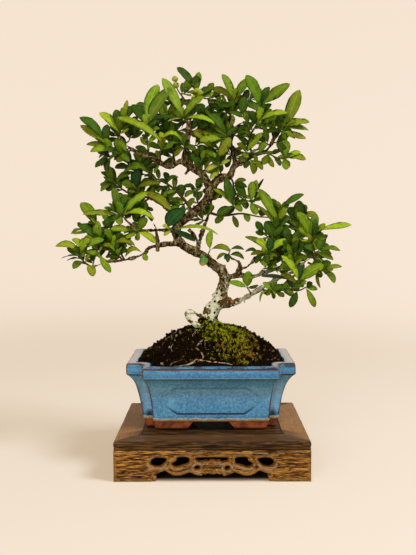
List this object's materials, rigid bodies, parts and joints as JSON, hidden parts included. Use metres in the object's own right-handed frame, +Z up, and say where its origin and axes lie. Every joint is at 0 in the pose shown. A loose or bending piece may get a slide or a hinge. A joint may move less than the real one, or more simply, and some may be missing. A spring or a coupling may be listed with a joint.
{
  "type": "firethorn bonsai",
  "caption": "Firethorn bonsai with a twisting trunk, sprays of oval leaves and small green berries, in a blue glazed oblong pot with cut-in corners on a carved wooden stand.",
  "frame": {"origin": "on the floor, below the middle of the whole: the stand's feet stand on Z = 0", "axes": "+Z up along the tree; -Y is the front, the side that the picture shows; +X is to the right seen from the front"},
  "size_m": [0.2724, 0.144, 0.3754],
  "materials": {
    "stand_wood": "oiled hardwood, dark brown, with strong grain along each rail and apron and worn edges",
    "blue_glaze": "opaque mottled blue gloss glaze over stoneware, thin and brown on the edges, bare red-brown clay at the feet",
    "black_mesh": "matt black drainage mesh",
    "soil": "dark granular soil with patches of moss",
    "bark": "pale grey-brown bark with knots and pruning scars",
    "leaf": "half-gloss leaves from lime to dark green with pale midribs; green unripe berries on the top spray"
  },
  "bodies": {
    "root": {"drain_mesh_left": "black_mesh", "drain_mesh_right": "black_mesh", "pot": "blue_glaze", "soil": "soil", "spray_apex_rosette": "leaf", "spray_back_leader_rosette": "leaf", "spray_back_left": "leaf", "spray_back_right": "leaf", "spray_back_top": "leaf", "spray_fork_twig": "leaf", "spray_inner_right_lower": "leaf", "spray_inner_right_upper": "leaf", "spray_left_back_rosette": "leaf", "spray_left_back_tip": "leaf", "spray_left_low_back": "leaf", "spray_left_low_fourth": "leaf", "spray_left_low_second": "leaf", "spray_left_low_third": "leaf", "spray_left_low_tip": "leaf", "spray_left_middle_tip": "leaf", "spray_left_middle_under": "leaf", "spray_left_slender": "leaf", "spray_middle_back_tip": "leaf", "spray_right_front_rosette": "leaf", "spray_right_front_side": "leaf", "spray_right_hanging": "leaf", "spray_right_low_middle": "leaf", "spray_right_low_shoot": "leaf", "spray_right_low_tip": "leaf", "spray_right_low_under": "leaf", "spray_right_mass_back": "leaf", "spray_right_mass_upper": "leaf", "spray_right_tip": "leaf", "spray_right_twig": "leaf", "spray_right_upper_rosette": "leaf", "spray_spur_rosette": "leaf", "spray_top": "leaf", "spray_top_right": "leaf", "spray_trunk_back_shoot": "leaf", "spray_trunk_bend_shoot": "leaf", "spray_trunk_front_leaf": "leaf", "spray_trunk_shoot": "leaf", "spray_upper_left_long": "leaf", "spray_upper_left_mass": "leaf", "spray_upper_left_rosette": "leaf", "spray_upper_left_second": "leaf", "spray_upper_left_tip": "leaf", "spray_upper_mid_arch": "leaf", "stand_apron_back": "stand_wood", "stand_apron_front": "stand_wood", "stand_apron_left": "stand_wood", "stand_apron_right": "stand_wood", "stand_panel": "stand_wood", "stand_rail_back": "stand_wood", "stand_rail_front": "stand_wood", "stand_rail_left": "stand_wood", "stand_rail_right": "stand_wood", "surface_root_front": "bark", "surface_root_middle": "bark", "trunk_and_branches": "bark"}
  },
  "joints": []
}
